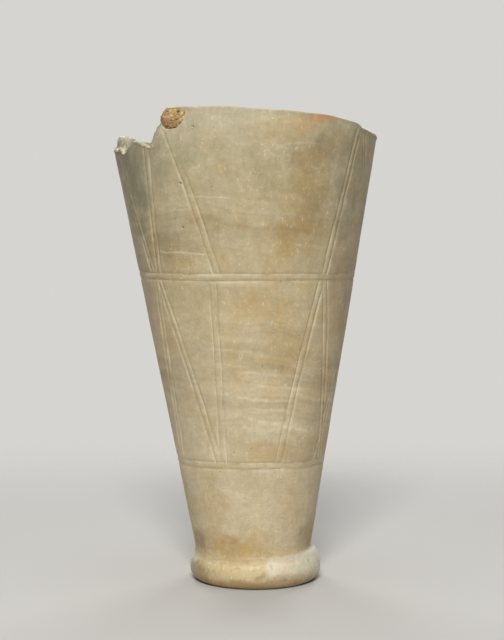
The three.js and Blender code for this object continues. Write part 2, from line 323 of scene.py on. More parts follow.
def outer_rings(azimuth, tops):
    """Rings of the jar's outside, from its underside up to the rim."""
    flat = np.zeros(azimuth.shape)
    turn = np.radians(azimuth)
    rings = []
    for radius in UNDERSIDE_RADII:
        rings.append((np.stack([radius * np.sin(turn), -radius * np.cos(turn), flat], axis=-1), flat, flat))
    crease_share, crease_height = crease(azimuth)
    for row in range(FOOT_ROWS):
        rings.append((foot_point(azimuth, crease_share * row / FOOT_ROWS), flat, flat))
    first_wall = len(rings)
    levels = [lerp(crease_height, EVEN_ROWS[0], share) for share in ANKLE_ROWS]
    levels += [flat + z for z in EVEN_ROWS]
    levels += [lerp(EVEN_ROWS_END, tops[0][1], row / RIM_ROWS) for row in range(RIM_ROWS)]
    for z in levels:
        on_wall = flat if z is levels[0] else flat + 1.0
        rings.append((round_jar(azimuth, flared_radius(z), z), on_wall, flat))
    return softened(rings, first_wall, azimuth)


def inner_rings(azimuth, top):
    """Rings of the jar's hollow, from under its rim down to its floor."""
    flat = np.zeros(azimuth.shape)
    floor_edge = FLOOR_THICKNESS + FLOOR_ROUND
    rings = []
    for share in np.linspace(0.0, 1.0, HOLLOW_ROWS)[1:] ** 1.4:
        z = lerp(top, floor_edge, share)
        rings.append((round_jar(azimuth, hollow_radius(z), z), flat, flat))
    for tip in np.linspace(np.pi / 2, 0.0, FLOOR_ROWS)[1:-1]:
        z = flat + floor_edge - FLOOR_ROUND * np.cos(tip)
        rings.append((round_jar(azimuth, hollow_radius(floor_edge) * np.sin(tip), z), flat, flat))
    return rings


def jar_rings():
    """Every ring of the jar's skin, from the middle of its underside over the rim to the middle of its floor.
    Each ring comes with how far it belongs to the outer wall, and to the broken face."""
    azimuth = column_azimuths()
    flat = np.zeros(azimuth.shape)
    tops, broken = rim_rows(azimuth, top_heights(azimuth))
    over = [(round_jar(azimuth, radius, z), flat, broken) for radius, z in tops]
    return outer_rings(azimuth, tops) + over + inner_rings(azimuth, tops[-1][1])


def store(mesh, name, values):
    """Keeps a value for each point of a mesh."""
    mesh.attributes.new(name, "FLOAT", "POINT").data.foreach_set("value", np.asarray(values).tolist())


def stored(skin, name):
    layer = skin.verts.layers.float[name]
    return np.array([vertex[layer] for vertex in skin.verts])


def closed_skin(rings):
    """A bmesh with a pole at each end of the rings, and its wall and broken shares as vertex values."""
    columns = len(rings[0][0])
    points = [(0.0, 0.0, 0.0)]
    wall, broken = [0.0], [0.0]
    for ring, on_wall, on_break in rings:
        points.extend(ring.tolist())
        wall.extend(on_wall.tolist())
        broken.extend(on_break.tolist())
    points.append((wall_axis_x(FLOOR_THICKNESS), 0.0, FLOOR_THICKNESS))
    wall.append(0.0)
    broken.append(0.0)
    faces = []
    last = 1 + (len(rings) - 1) * columns
    for c in range(columns):
        d = (c + 1) % columns
        faces.append((0, 1 + d, 1 + c))
        faces.append((last + c, last + d, len(points) - 1))
        for start in range(1, last, columns):
            faces.append((start + c, start + d, start + columns + d, start + columns + c))
    mesh = bpy.data.meshes.new("skin")
    mesh.from_pydata(points, [], faces)
    store(mesh, "wall", wall)
    store(mesh, "broken", broken)
    skin = bmesh.new()
    skin.from_mesh(mesh)
    bpy.data.meshes.remove(mesh)
    return skin


# The carved lines

def upper_band_at(azimuth):
    return UPPER_BAND_HEIGHT - UPPER_BAND_SAG * np.cos(np.radians(azimuth))


def hand_wander(value, seed):
    """A smooth wander between about -1 and 1, as of a hand that draws a line."""
    waves = (np.sin(value * 0.061 + seed) + np.sin(value * 0.143 + 2.3 * seed) * 0.6
             + np.sin(value * 0.39 + 4.1 * seed) * 0.35)
    return waves / 1.95


def worn_start(top, side, z):
    """How much is left of a line: under the crust the right line of a pair is rubbed away."""
    return 1.0 - 0.9 * smooth(262, 280, z) if (top, side) == CRUST_STROKE else 1.0


def strokes():
    """Every slanting pair as (upper azimuth, upper height, lower azimuth, lower height, depth share)."""
    made = []
    step = (BACK_LAST - BACK_FIRST) / (BACK_MEETINGS - 1)
    upper = [(top, bottom, 1.0) for top, bottom in FRONT_UPPER_STROKES]
    lower = [(top, bottom, 1.0) for top, bottom in FRONT_LOWER_STROKES]
    for i in range(BACK_MEETINGS):
        meeting = BACK_FIRST + i * step
        for side in (-0.5, 0.5):
            upper.append((meeting + side * step, meeting, BACK_STRENGTH))
            lower.append((meeting, meeting + side * step, BACK_STRENGTH))
    for top, bottom, strength in upper:
        low = float(upper_band_at(bottom)) + PAIR_SPACING / 2
        made.append((top, float(rim_plane(top)) + 5.0, bottom, low, strength))
    for top, bottom, strength in lower:
        high = float(upper_band_at(top)) - PAIR_SPACING / 2
        made.append((top, high, bottom, LOWER_BAND_HEIGHT + PAIR_SPACING / 2, strength))
    return made


def groove(distance, half_width):
    """Depth share of a V groove with rubbed edges and a rounded bottom, at a distance from its middle."""
    share = np.clip(1.0 - np.abs(distance) / half_width, 0.0, 1.0)
    return smooth(0.0, 0.3, share) * share * (1.25 - 0.25 * share)


def level_lines(azimuth, z):
    """For each level line, its distance and its depth share at points of the wall."""
    around = azimuth * 1.2
    bands = [(upper_band_at(azimuth), 1.0, 1.0), (LOWER_BAND_HEIGHT, 2.0, LOWER_BAND_STRENGTH)]
    faint = 0.4 * stretch(azimuth, 10, 50, 80, 110)
    for middle, seed, strength in bands:
        for side in (0.5, -0.5):
            wander = BAND_WANDER * hand_wander(around, seed + side)
            distance = z - (middle + side * PAIR_SPACING + wander)
            vigour = strength + 0.4 * hand_wander(around * 1.9, seed * 3 + side) - faint
            yield distance, vigour * groove(distance, LINE_WIDTH / 2 * 1.1)


def slanting_lines(azimuth, z):
    """For each slanting line, its distance and its depth share at points of the wall."""
    for number, (top, high, bottom, low, strength) in enumerate(strokes()):
        middle = lerp(top, bottom, (high - z) / (high - low))
        slant = math.radians(bottom - top) / (high - low) * wall_radius(z)
        inside = (z > low - 0.6) & (z < high)
        for side in (0.5, -0.5):
            seed = number * 1.7 + side
            reach = np.radians(azimuth_between(azimuth, middle)) * wall_radius(z)
            reach = reach - side * PAIR_SPACING - STROKE_WANDER * hand_wander(z, seed)
            distance = np.where(inside, reach / np.sqrt(1 + slant ** 2), FAR)
            vigour = strength * (0.95 + 0.45 * hand_wander(z * 1.7, seed * 2.0)) * worn_start(top, side, z)
            yield distance, vigour * groove(distance, LINE_WIDTH / 2)


def carved_depth(azimuth, z):
    """Depth of the carved lines at points of the wall, and the distance to the nearest line."""
    deepest = np.zeros(azimuth.shape)
    nearest = np.full(azimuth.shape, FAR)
    for lines in (level_lines, slanting_lines):
        for distance, share in lines(azimuth, z):
            deepest = np.maximum(deepest, share)
            nearest = np.minimum(nearest, np.abs(distance))
    return CARVED_DEPTH * deepest, nearest


# The crust's outline

def crust_corner(turn):
    """How far the crust's outline stands out of its ellipse at a turn."""
    out = 0.0 * turn
    for middle, extra, spread in CRUST_CORNERS:
        out = out + extra * hump(azimuth_between(turn, middle), 0.0, spread)
    return out


def crust_share(azimuth, z):
    """Distance from the middle of the crust, 1 at its edge."""
    middle = JAR_HEIGHT - CRUST_DROP
    across = np.radians(azimuth_between(azimuth, CRUST_AZIMUTH)) * wall_radius(middle) / (CRUST_WIDTH / 2)
    up = (z - middle) / (CRUST_TALL / 2)
    return np.hypot(across, up) / (1.0 + crust_corner(np.degrees(np.arctan2(up, across))))


# The jar's fine surface

def azimuths_of(places):
    return np.degrees(np.arctan2(places[:, 0] - wall_axis_x(places[:, 2]), -places[:, 1]))


def pit_distances(azimuth, z):
    """For each pit, the distance from its middle, with its radius and depth."""
    for pit_azimuth, pit_height, radius, deep in PITS:
        across = np.radians(azimuth_between(azimuth, pit_azimuth)) * wall_radius(z)
        yield np.hypot(across, z - pit_height), radius, deep


def refine(skin, reach, longest, widest):
    """Splits edges longer than a length, on the break and in faces within reach of a carved line, a pit or
    the crust's outline, out to an azimuth at either side of the front."""
    wall = skin.verts.layers.float["wall"]
    broken = skin.verts.layers.float["broken"]
    middles = np.array([face.calc_center_median() for face in skin.faces])
    azimuth, z = azimuths_of(middles), middles[:, 2]
    _, nearest = carved_depth(azimuth, z)
    near = (nearest < reach) | (np.abs(crust_share(azimuth, z) - 1.0) * CRUST_WIDTH / 2 < reach)
    for distance, radius, _ in pit_distances(azimuth, z):
        near |= distance < radius + reach * 0.7
    edges = set()
    for face, close, turn in zip(skin.faces, near, np.abs(azimuth)):
        on_wall = close and turn < widest and all(v[wall] > 0.5 for v in face.verts)
        on_break = turn < widest + BREAK_MARGIN and all(v[broken] > 0.3 for v in face.verts)
        if on_wall or on_break:
            edges.update(edge for edge in face.edges if edge.calc_length() > longest)
    bmesh.ops.subdivide_edges(skin, edges=list(edges), cuts=1, use_grid_fill=True)


def place_noise(places, size, seed):
    """Smooth noise between about -1 and 1 at each point, with bumps of a given size in mm."""
    shift = Vector((seed * 17.3, seed * 5.1, seed * 9.7))
    return np.array([noise.noise(Vector(place) / size + shift) for place in places.tolist()])


def layered_noise(places, layers):
    return sum(height * place_noise(places, size, seed) for height, size, seed in layers)


def worn_height(places, z):
    """How far the worn surface of the wall and of the foot swells out at each point."""
    on_foot = 1.0 - smooth(FOOT_HEIGHT - 3.0, FOOT_HEIGHT + 3.0, z)
    wall = layered_noise(places, WALL_SWELLS) * (1.0 - smooth(284.0, 296.0, z))
    foot = layered_noise(places, FOOT_LUMPS) * smooth(1.0, 6.0, z)
    return lerp(wall, foot, on_foot)


def pit_depths(azimuth, z):
    """Depth of the pits at each point, and how far each point is in one."""
    depth = np.zeros(z.shape)
    pitted = np.zeros(z.shape)
    for distance, radius, deep in pit_distances(azimuth, z):
        pit = 1.0 - smooth(0.25, 1.05, distance / radius)
        depth = depth + deep * pit
        pitted = np.maximum(pitted, pit * min(deep, 1.0))
    return depth, pitted


def break_lumps(places, z):
    """How far the points of the break are set to the side and up, with a jagged outer edge."""
    inside = wall_radius(z) - np.hypot(places[:, 0] - wall_axis_x(z), places[:, 1])
    off_edge = smooth(1.0, 3.0, inside)
    up = layered_noise(places, BREAK_LUMPS) + (1.0 - off_edge) * layered_noise(places, BREAK_EDGE_LUMPS)
    aside = [off_edge * layered_noise(places, layers) for layers in BREAK_SIDE_LUMPS]
    return np.stack([*aside, up], axis=-1)


def carve(skin):
    """Sets every point on the carved and worn surface, and returns how far each one is the bottom of a
    carved line and how far it is darker, on a line's flanks, in a pit or in the crust's bed."""
    places = np.array([vertex.co for vertex in skin.verts])
    azimuth, z = azimuths_of(places), places[:, 2].copy()
    on_wall = (stored(skin, "wall") > 0.4) & (z > FOOT_HEIGHT + 7.0)
    on_foot = (np.hypot(places[:, 0], places[:, 1]) > 37.0) & (z < FOOT_HEIGHT + 2.0)
    outside = on_wall | on_foot
    places[on_wall] = round_jar(azimuth[on_wall], flared_radius(z[on_wall]), z[on_wall])

    lines = np.where(on_wall, carved_depth(azimuth, z)[0], 0.0)
    pits, pitted = pit_depths(azimuth, z)
    bed = np.where(on_wall, 1.0 - smooth(0.86, 1.02, crust_share(azimuth, z)), 0.0)
    height = np.where(outside, worn_height(places, z) - pits, 0.0) - lines - BED_DEPTH * bed
    places = places + outward_normals(azimuth) * height[:, None]
    broken = smooth(0.2, 0.9, stored(skin, "broken"))
    rough = broken > 0
    places[rough] += break_lumps(places[rough], z[rough]) * broken[rough, None]
    for vertex, place in zip(skin.verts, (places * MM).tolist()):
        vertex.co = place

    share = lines / LINE_DEPTH
    # Darker along the shallow flanks of the lines, in the pits and in the bed under the crust.
    dirt = np.maximum(0.34 * stretch(share, 0.02, 0.2, 0.35, 0.7), np.where(outside, pitted, 0.0))
    return {"line_bottom": smooth(0.45, 1.0, share), "dirt": np.maximum(dirt, bed)}


def placed(name, data):
    """A new object of the scene, at the origin."""
    made = bpy.data.objects.new(name, data)
    bpy.context.scene.collection.objects.link(made)
    return made


def make_piece(name, skin, marks, finish, node, sharp_degrees):
    """A piece that takes a node's place. Its marks are what its finish needs to know about each point."""
    mesh = bpy.data.meshes.new(name)
    skin.to_mesh(mesh)
    skin.free()
    for mark, values in marks.items():
        store(mesh, mark, values)
    mesh.polygons.foreach_set("use_smooth", [True] * len(mesh.polygons))
    mesh.set_sharp_from_angle(angle=math.radians(sharp_degrees))
    mesh.materials.append(finish.owner)
    piece = placed(name, mesh)
    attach(piece, "root")
    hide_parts(node)


def make_jar():
    skin = closed_skin(jar_rings())
    for reach, longest, widest in REFINEMENTS:
        refine(skin, reach, longest, widest)
    marks = carve(skin)
    make_piece("carved_jar", skin, marks, stone_finish(), "jar_body", 60.0)


def crust_form(ball):
    """The crust's lumpy form from the points of a ball, and how far each point is in a small hollow."""
    turn = np.degrees(np.arctan2(ball[:, 2], ball[:, 0]))
    radius = 1.0 + (1.0 - ball[:, 1] ** 2) * crust_corner(turn) + layered_noise(ball, CRUST_LUMPS)
    hollow = np.clip(place_noise(ball, 0.17, 14) - 0.3, 0.0, None)
    form = ball * (radius - 0.4 * hollow)[:, None]
    form[:, 1] = np.where(form[:, 1] < 0, form[:, 1], form[:, 1] * CRUST_FLAT)
    return form, np.clip(hollow * 4.0, 0.0, 1.0)


def make_crust():
    lump = bmesh.new()
    bmesh.ops.create_icosphere(lump, subdivisions=6, radius=1.0)
    form, hollow = crust_form(np.array([vertex.co for vertex in lump.verts]))
    height = JAR_HEIGHT - CRUST_DROP
    azimuth = np.array([CRUST_AZIMUTH])
    middle = round_jar(azimuth, wall_radius(height) - CRUST_SUNK, height)[0]
    out = outward_normals(azimuth)[0]
    right = np.cross([0.0, 0.0, 1.0], out)
    right = right / np.linalg.norm(right)
    up = np.cross(out, right)
    size = np.array([CRUST_WIDTH, CRUST_DEPTH, CRUST_TALL])
    places = middle + (form * size / 2) @ np.array([right, out, up])

    # Pressed down where it would stand over the rim
    ceiling = rim_plane(azimuths_of(places)) - 0.5 + 0.4 * place_noise(places, 2.0, 15)
    places[:, 2] -= 0.85 * np.clip(places[:, 2] - ceiling, 0.0, None)
    for vertex, place in zip(lump.verts, (places * MM).tolist()):
        vertex.co = place
    make_piece("ochre_lump", lump, {"hollow": hollow}, crust_finish(), "rim_crust", 70.0)


# Shader maths

class Wire:
    """A value, colour or vector in a finish, on which arithmetic can be written."""

    def __init__(self, finish, socket):
        self.finish = finish
        self.socket = socket

    def __add__(self, other):
        return self.finish.math("ADD", self, other)

    def __sub__(self, other):
        return self.finish.math("SUBTRACT", self, other)

    def __rsub__(self, other):
        return self.finish.math("SUBTRACT", other, self)

    def __mul__(self, other):
        return self.finish.math("MULTIPLY", self, other)

    def __neg__(self):
        return self.finish.math("MULTIPLY", self, -1.0)

    __radd__ = __add__
    __rmul__ = __mul__


class Finish:
    """The nodes of one material, or of the world."""

    def __init__(self, owner):
        self.owner = owner
        owner.use_nodes = True
        self.tree = owner.node_tree

    def node(self, kind, settings=None, values=None, output=0):
        made = self.tree.nodes.new(kind)
        for name, value in (settings or {}).items():
            if name == "stops":
                self.set_stops(made.color_ramp, value)
            else:
                setattr(made, name, value)
        self.fill(made, values or {})
        return Wire(self, made.outputs[output])

    def fill(self, node, values):
        for name, value in values.items():
            if isinstance(value, Wire):
                self.tree.links.new(value.socket, node.inputs[name])
            else:
                node.inputs[name].default_value = value

    def set_stops(self, ramp, stops):
        while len(ramp.elements) < len(stops):
            ramp.elements.new(1.0)
        for element, (place, colour) in zip(ramp.elements, stops):
            element.position = place
            element.color = colour

    def surface(self, values):
        self.fill(self.tree.nodes["Principled BSDF"], values)

    def math(self, operation, first, second):
        return self.node("ShaderNodeMath", {"operation": operation}, {0: first, 1: second})

    def vector(self, operation, first, second, output=0):
        return self.node("ShaderNodeVectorMath", {"operation": operation}, {0: first, 1: second}, output)

    def own_place(self):
        """The place on the piece, in millimetres."""
        metres = self.node("ShaderNodeTexCoord", output="Object")
        return self.vector("MULTIPLY", metres, (1 / MM, 1 / MM, 1 / MM))

    def parts(self, vector):
        return [self.node("ShaderNodeSeparateXYZ", values={0: vector}, output=axis) for axis in "XYZ"]

    def joined(self, x, y, z):
        return self.node("ShaderNodeCombineXYZ", values={0: x, 1: y, 2: z})

    def grain(self, vector, size, detail=3.0, roughness=0.55):
        """Noise from 0 to 1 whose bumps are about a size in mm."""
        values = {"Vector": vector, "Scale": 1.0 / size, "Detail": detail, "Roughness": roughness}
        return self.node("ShaderNodeTexNoise", values=values)

    def cells(self, vector, size):
        """Distance to the nearest of many dots, 0 at a dot, in shares of a size in mm."""
        return self.node("ShaderNodeTexVoronoi", values={"Vector": vector, "Scale": 1.0 / size})

    def between(self, value, low, high):
        """0 at low, 1 at high and beyond, and smooth between them; low may be above high."""
        ends = (low, high, 0.0, 1.0) if low < high else (high, low, 1.0, 0.0)
        values = dict(enumerate((value, *ends)))
        return self.node("ShaderNodeMapRange", {"interpolation_type": "SMOOTHSTEP"}, values)

    def along(self, value, first, last, fade):
        """1 between two values and 0 outside them, fading just inside each."""
        return self.between(value, first, first + fade) * self.between(value, last, last - fade)

    def mixed(self, share, first, second):
        return self.node("ShaderNodeMix", {"data_type": "RGBA"}, {0: share, 6: first, 7: second}, output=2)

    def scaled(self, colour, share):
        """A colour made lighter or darker."""
        return self.node("ShaderNodeVectorMath", {"operation": "SCALE"}, {0: colour, "Scale": share})

    def ramp(self, value, stops):
        return self.node("ShaderNodeValToRGB", {"stops": stops}, {0: value})

    def measured(self, name):
        """A value that was stored on the mesh's points."""
        return self.node("ShaderNodeAttribute", {"attribute_name": name}, output="Fac")

    def bump(self, height, deep, below=None):
        """A Bump node for a height from 0 to 1 that is a number of millimetres deep."""
        values = {"Height": height, "Distance": deep * MM, "Strength": 1.0}
        if below is not None:
            values["Normal"] = below
        return self.node("ShaderNodeBump", values=values)


def paint(red, green, blue):
    """A colour as a screen shows it, from 0 to 255, as the linear colour that a shader takes."""
    linear = [((c / 255 + 0.055) / 1.055) ** 2.4 if c > 10 else c / 3294.6 for c in (red, green, blue)]
    return (*linear, 1.0)


# The stone's finish

# The stone's colour by height, before its patches
STONE_LAYERS = [
    (0, (204, 186, 146)), (24, (194, 175, 136)), (40, (200, 183, 149)), (80, (202, 186, 153)),
    (112, (200, 184, 151)), (136, (193, 176, 142)), (180, (191, 175, 139)), (206, (186, 170, 134)),
    (226, (181, 166, 131)), (286, (178, 165, 132)), (301, (189, 178, 148)), (313, (196, 186, 158)),
]

# Patches as (azimuth, height, half width, half height, colour, strength)
PATCHES = [
    (-44, 284, 17, 22, (163, 156, 128), 0.8),
    (-20, 282, 26, 8, (168, 159, 126), 0.6),
    (-14, 297, 34, 8, (190, 181, 152), 0.55),
    (14, 272, 26, 22, (168, 153, 116), 0.6),
    (31, 262, 15, 30, (154, 131, 90), 0.7),
    (22, 279, 11, 7, (156, 137, 98), 0.6),
    (36, 288, 10, 8, (147, 126, 90), 0.65),
    (55, 268, 18, 44, (150, 139, 111), 0.75),
    (22, 230, 24, 15, (170, 142, 96), 0.75),
    (-6, 240, 24, 9, (176, 154, 112), 0.65),
    (25, 301, 15, 6, (196, 163, 120), 0.7),
    (33, 305, 11, 3.5, (204, 150, 98), 0.9),
    (41, 299, 9, 6, (168, 148, 116), 0.5),
    (62, 205, 22, 40, (168, 147, 119), 0.6),
    (-62, 268, 24, 36, (132, 127, 103), 0.85),
    (-66, 190, 16, 40, (184, 164, 138), 0.5),
    (-42, 224, 22, 14, (156, 139, 107), 0.7),
    (2, 222, 20, 10, (192, 175, 141), 0.5),
    (-2, 252, 26, 12, (181, 166, 129), 0.5),
    (8, 186, 22, 15, (190, 166, 122), 0.7),
    (26, 160, 16, 22, (180, 156, 110), 0.6),
    (12, 142, 26, 5, (208, 191, 156), 0.55),
    (20, 126, 22, 4, (186, 166, 126), 0.5),
    (18, 109, 24, 5, (212, 197, 163), 0.75),
    (52, 128, 13, 32, (174, 154, 121), 0.55),
    (46, 92, 20, 11, (173, 153, 117), 0.65),
    (14, 91, 17, 9, (187, 165, 124), 0.7),
    (-26, 93, 14, 8, (211, 196, 168), 0.55),
    (36, 60, 16, 26, (197, 177, 139), 0.5),
    (-19, 25, 22, 9, (188, 161, 114), 1.0),
    (-22, 33, 9, 4, (176, 142, 92), 0.8),
    (-4, 26, 5, 3, (196, 166, 92), 0.8),
    (6, 24, 12, 4, (186, 163, 118), 0.7),
    # The next three are painted shade: darker at the ankle's crease at the left and at the right, and on the
    # foot at the left.
    (-64, 28, 15, 9, (158, 138, 104), 0.8),
    (62, 33, 15, 10, (160, 142, 110), 0.7),
    (-62, 9, 19, 8, (152, 131, 94), 0.7),
    (38, 6, 28, 5, (174, 148, 110), 0.6),
    (-5, 3, 60, 4.5, (166, 131, 84), 0.65),
    (18, 15, 5, 4, (228, 219, 198), 0.7),
    (112, 250, 26, 24, (163, 141, 103), 0.6),
    (150, 130, 18, 40, (176, 157, 122), 0.55),
    (-150, 240, 30, 18, (186, 173, 142), 0.6),
    (-120, 120, 16, 34, (181, 158, 117), 0.5),
    (128, 40, 20, 18, (190, 164, 120), 0.6),
    (-108, 60, 16, 14, (208, 193, 162), 0.5),
]

# Veins as (first azimuth, last azimuth, first height, last height, half width, strength)
RUSTY_VEINS = [
    (4, 26, 184.5, 181.5, 0.9, 0.4), (8, 29, 178.5, 175, 0.7, 0.35), (-12, 8, 189, 188, 0.7, 0.25),
    (2, 22, 171, 170, 0.8, 0.3), (-22, 18, 16.5, 16, 0.6, 0.2), (95, 140, 205, 200, 1, 0.35),
    (-170, -120, 100, 108, 1, 0.3),
]
PALE_VEINS = [
    (-50, -14, 222.4, 219.6, 0.9, 0.55), (-31, -3, 257, 254.4, 0.8, 0.45), (2, 38, 136.5, 132.5, 2, 0.6),
    (-10, 32, 128, 125.5, 1.7, 0.5), (-6, 28, 121.5, 119, 1.6, 0.5), (16, 36, 288.5, 289.5, 0.9, 0.4),
    (-6, 48, 115.4, 104.2, 2, 0.6), (-42, -24, 247, 249, 0.8, 0.3), (-30, 20, 160, 156, 1.5, 0.4),
    (-10, 38, 145.5, 141, 1.7, 0.5), (-24, 2, 151, 148, 1, 0.3), (60, 110, 232, 224, 1, 0.45),
    (120, 172, 176, 184, 1.1, 0.45), (-150, -95, 170, 163, 1, 0.4), (-172, -128, 262, 256, 0.9, 0.4),
]

# The foot's colour all round, and others as (azimuth where it starts, azimuth where it is full, colour)
FOOT_COLOUR = (207, 188, 144)
FOOT_PATCHES = [
    (9, 14, (217, 204, 178)), (26, 52, (209, 205, 182)), (-54, -68, (206, 201, 172)),
    (96, 130, (205, 187, 148)),
]

GOLDEN_CLOUD = paint(186, 160, 110)
GREYISH_CLOUD = paint(184, 175, 147)
PALE_VEIN = paint(222, 209, 180)
RUSTY_VEIN = paint(176, 134, 86)
PALE_SCUFF = paint(220, 209, 180)
DARK_SCUFF = paint(142, 124, 90)
PALE_STREAK = paint(222, 211, 182)
CHALK = paint(228, 214, 184)
HOLLOW_DARK = paint(112, 92, 62)
FRESH_LIGHT = paint(190, 183, 156)
FRESH_DARK = paint(152, 142, 112)
PALE_FLECK = paint(228, 220, 196)
PALE_CHIP_AND_GLINT = paint(230, 221, 196)
FOOT_STAIN = paint(166, 142, 100)
DARK_SPECK = paint(104, 88, 62)
LAYERS_TOP = 320.0  # the height at which the ramp of layers ends


class StoneSkin(Finish):
    """The stone's finish, painted layer by layer."""

    def __init__(self):
        super().__init__(bpy.data.materials.new("banded_stone"))
        self.place = self.own_place()
        x, y, z = self.parts(self.place)
        self.height = z
        axis_slope = (RIM_LEAN - ANKLE_LEAN) / (JAR_HEIGHT - FOOT_HEIGHT)
        axis_foot = ANKLE_LEAN - axis_slope * FOOT_HEIGHT
        turn = self.math("ARCTAN2", x - (z * axis_slope + axis_foot), -y)
        self.azimuth = turn * math.degrees(1.0)
        self.cloud = self.grain(self.place, 30.0, 4.0, 0.6)
        self.ragged = self.grain(self.place, 9.0, 6.0, 0.68)
        self.flakes = self.grain(self.place, 5.0, 4.0, 0.65)
        off_wall = 1.0 - self.measured("wall")
        left_foot = self.between(z + self.ragged * 5.0, 24.0, 17.0)
        right_foot = self.between(z, 40.0, 30.0) * off_wall
        right = self.between(self.azimuth, -2.0, 14.0) * self.between(self.azimuth, 130.0, 100.0)
        self.foot = left_foot * (1.0 - right) + right_foot * right
        # Painted shade: off the outer wall, from just under the foot's top upwards, the stone is made 15 %
        # darker, 22 % at the right of the front; this darkens the foot's top by the crease, and also the rim,
        # the break and the hollow.
        shoulder = self.between(z, 16.0, 22.0) * off_wall
        self.painted_shade = shoulder * (self.between(self.azimuth, -20.0, 10.0) * 0.07 + 0.15)
        level = z + x * 0.1 + self.grain(self.place, 60.0, 2.0) * 24.0
        self.bedding = self.joined(x * 0.06, y * 0.06, level)
        self.levels = self.joined(x * 0.06, y * 0.06, z)

    def stretched(self, upright):
        """The place for a grain whose bumps are longer or shorter upright than across."""
        return self.vector("MULTIPLY", self.place, (1.0, 1.0, upright))

    def moved(self, x, y, z):
        """The place for dots that don't fall on those of another layer."""
        return self.vector("ADD", self.place, (x, y, z))

    def footed(self, colour):
        """The foot: yellowish at the left, pinkish white from right of its middle, then greenish white."""
        turn = self.azimuth + (self.ragged - 0.5) * 16.0
        tint = paint(*FOOT_COLOUR)
        for start, full, patch in FOOT_PATCHES:
            tint = self.mixed(self.between(turn, start, full), tint, paint(*patch))
        return self.mixed(self.foot, colour, tint)

    def patch(self, colour, azimuth, height, wide, tall, tint, strength):
        """A ragged patch round a place on the jar."""
        radius = wall_radius(max(height, FOOT_HEIGHT))
        across = (self.azimuth - azimuth) * (math.radians(1.0) * radius / wide)
        up = (self.height - height) * (1.0 / tall)
        far = self.math("POWER", across * across + up * up, 0.5)
        inside = self.between(far + (self.ragged - 0.5) * 1.5, 1.25, 0.45)
        return self.mixed(inside * strength, colour, paint(*tint))

    def vein(self, colour, tint, first, last, first_height, last_height, half_width, strength):
        """A thin vein between two places, not quite level, that fades at its ends."""
        slope = (last_height - first_height) / (last - first)
        line = (self.azimuth - first) * slope + (first_height - 2.5) + self.ragged * 5.0
        away = self.math("ABSOLUTE", self.height - line, 0.0)
        inside = self.between(away, half_width, 0.0) * self.along(self.azimuth, first, last, 8.0)
        return self.mixed(inside * (self.cloud * strength * 1.9), colour, tint)

    def clouded(self, colour):
        """Golden and greyish clouds, fainter on the foot."""
        golden = self.grain(self.place, 22.0, 3.0, 0.5)
        pale_corner = self.between(self.azimuth, -44.0, -56.0) * self.between(self.height, 215.0, 240.0)
        share = self.between(golden - pale_corner * 0.15, 0.44, 0.66) * (0.42 - self.foot * 0.3)
        colour = self.mixed(share, colour, GOLDEN_CLOUD)
        greyish = self.grain(self.place, 15.0, 3.0, 0.5)
        share = self.between(greyish, 0.44, 0.66) * (0.32 - self.foot * 0.22)
        return self.mixed(share, colour, GREYISH_CLOUD)

    def shade(self):
        """How light the stone is: its beds, which show in two zones, its grain, level hairlines, and painted
        shade off the outer wall above the foot.
        """
        z = self.height
        zones = self.between(z, 102.0, 112.0) * self.between(z, 205.0, 150.0)
        zones = zones + self.between(z, 214.0, 224.0) * self.between(z, 262.0, 248.0)
        beds = self.grain(self.bedding, 3.0, 4.0, 0.6)
        broad_beds = self.grain(self.bedding, 12.0, 2.0)
        wisps = self.grain(self.stretched(0.35), 3.6, 4.0, 0.6)
        fine = self.grain(self.place, 1.5, 4.0, 0.75)
        hairlines = self.grain(self.levels, 1.0, 2.0)
        lined = self.between(z, 38.0, 48.0) * self.between(z, 82.0, 66.0)
        lined = lined * self.between(self.ragged, 0.4, 0.6)
        shade = 1.0 + (self.cloud - 0.5) * 0.36
        shade = shade + (broad_beds - 0.5) * (zones * 0.35 + 0.15)
        shade = shade + (beds - 0.5) * (zones * 0.25 + 0.08)
        shade = shade + (wisps - 0.5) * (0.3 - zones * 0.15 - self.foot * 0.2)
        shade = shade + (self.flakes - 0.5) * (0.4 - self.foot * 0.15)
        shade = shade + (fine - 0.5) * (0.42 - self.foot * 0.1)
        shade = shade + (hairlines - 0.5) * lined * 0.3
        return shade * (1.0 - self.painted_shade)

    def scuffed(self, colour):
        """Pale and dark scuffs in patches, and short pale upright streaks."""
        scuffs = self.grain(self.stretched(1.6), 3.0, 5.0, 0.62)
        patchy = self.between(self.cloud, 0.5, 0.6) * 0.2
        colour = self.mixed(self.between(scuffs, 0.56, 0.61) * patchy, colour, PALE_SCUFF)
        colour = self.mixed(self.between(scuffs, 0.41, 0.36) * patchy, colour, DARK_SCUFF)
        streaks = self.grain(self.stretched(0.25), 1.5, 2.0)
        there = self.between(streaks, 0.60, 0.68) * self.between(self.flakes, 0.5, 0.58)
        return self.mixed(there * 0.45, colour, PALE_STREAK)

    def marked(self, colour):
        """The colour with chalky lines, and darker on the lines' flanks, in the pits and in the crust's bed.
        """
        chalky = self.measured("line_bottom") * (self.ragged * 0.85)
        colour = self.mixed(chalky, colour, CHALK)
        return self.mixed(self.between(self.measured("dirt"), 0.1, 1.0) * 0.8, colour, HOLLOW_DARK)

    def broken(self, colour):
        """The fresher stone of the break, with painted light on the face of its outer lobe."""
        crystals = self.grain(self.place, 2.4, 4.0, 0.7)
        fresh = self.mixed(self.between(crystals, 0.4, 0.62), FRESH_LIGHT, FRESH_DARK)
        # Painted light: the outer lobe's face is made up to 1.45 times as light, less at its ledge, while the
        # rest of the break is made 0.85 times as light.
        face = self.between(self.azimuth, -57.0, -63.0) * self.between(self.azimuth, -78.0, -70.0)
        ledge = self.between(self.azimuth, -64.0, -67.0) * self.between(self.height, 297.0, 294.0)
        fresh = self.scaled(fresh, 0.85 + face * (1.0 - ledge * 0.6) * 0.6)
        share = self.between(self.measured("broken") + (self.ragged - 0.5) * 0.5, 0.3, 0.8)
        return self.mixed(share, colour, fresh)

